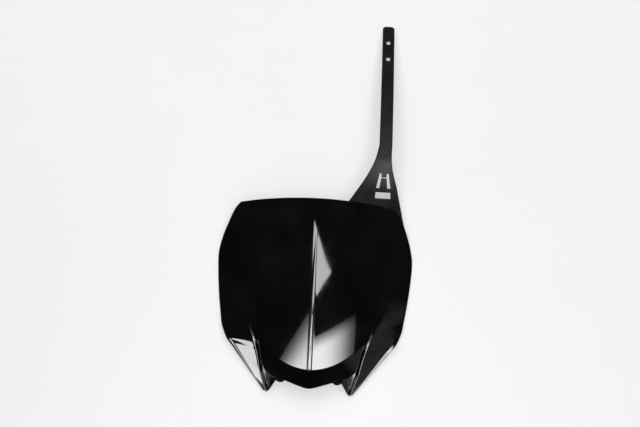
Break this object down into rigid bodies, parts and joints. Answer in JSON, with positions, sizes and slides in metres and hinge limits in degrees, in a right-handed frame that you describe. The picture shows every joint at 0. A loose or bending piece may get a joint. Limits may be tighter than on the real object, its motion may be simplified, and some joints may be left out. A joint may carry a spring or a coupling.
{
  "type": "racing number board",
  "caption": "Moulded front number board with a folded chin, a centre spine, pointed cheeks, lower lugs and a long side strap with a buckle window and holes.",
  "frame": {"origin": "centre of the bounding box, at the level of the rims and lugs that the board lies on", "axes": "+Z out of the face, +Y up the board to the strap's tip, +X to the strap's side"},
  "size_m": [0.2402, 0.4583, 0.0585],
  "materials": {
    "board": "high gloss on the face, satin on the strap and the back"
  },
  "bodies": {
    "root": {"number_board": "board"}
  },
  "joints": []
}
